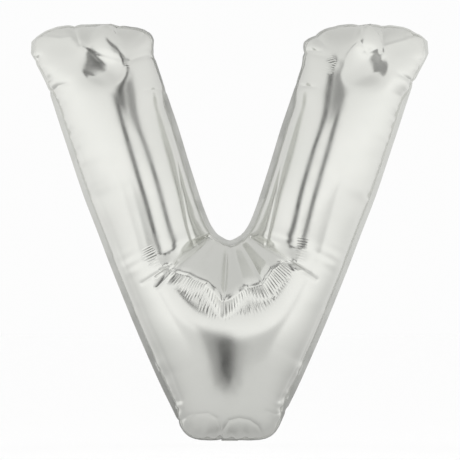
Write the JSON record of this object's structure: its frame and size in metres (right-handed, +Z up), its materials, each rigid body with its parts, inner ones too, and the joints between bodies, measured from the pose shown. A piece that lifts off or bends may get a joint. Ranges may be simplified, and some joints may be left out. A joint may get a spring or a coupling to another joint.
{
  "type": "letter foil balloon",
  "caption": "Inflated silver foil balloon in the shape of a capital V: two domed films sealed together in a flat flange, with a folding filling neck and valve film.",
  "frame": {"origin": "centre of lift: in the plane of the seam, midway between the legs, 0.430 m above the letter's bottom edge", "axes": "+X to the right of the letter seen from its front, +Y from its front to its back, +Z up to the tips of its legs"},
  "size_m": [0.8276, 0.2276, 0.8608],
  "materials": {
    "silver_foil": "metallised film, bright with a soft haze",
    "clear_film": "clear, slightly milky"
  },
  "bodies": {
    "envelope": {"front_film": "silver_foil", "back_film": "silver_foil"},
    "neck": {"filling_neck": "silver_foil", "valve_film": "clear_film"}
  },
  "joints": [
    {"name": "neck_fold", "type": "hinge", "parent": "envelope", "child": "neck", "pos_m": [0, 0.00165, -0.4305], "axis": [-1, 0, 0], "range_deg": [0, 105]}
  ]
}
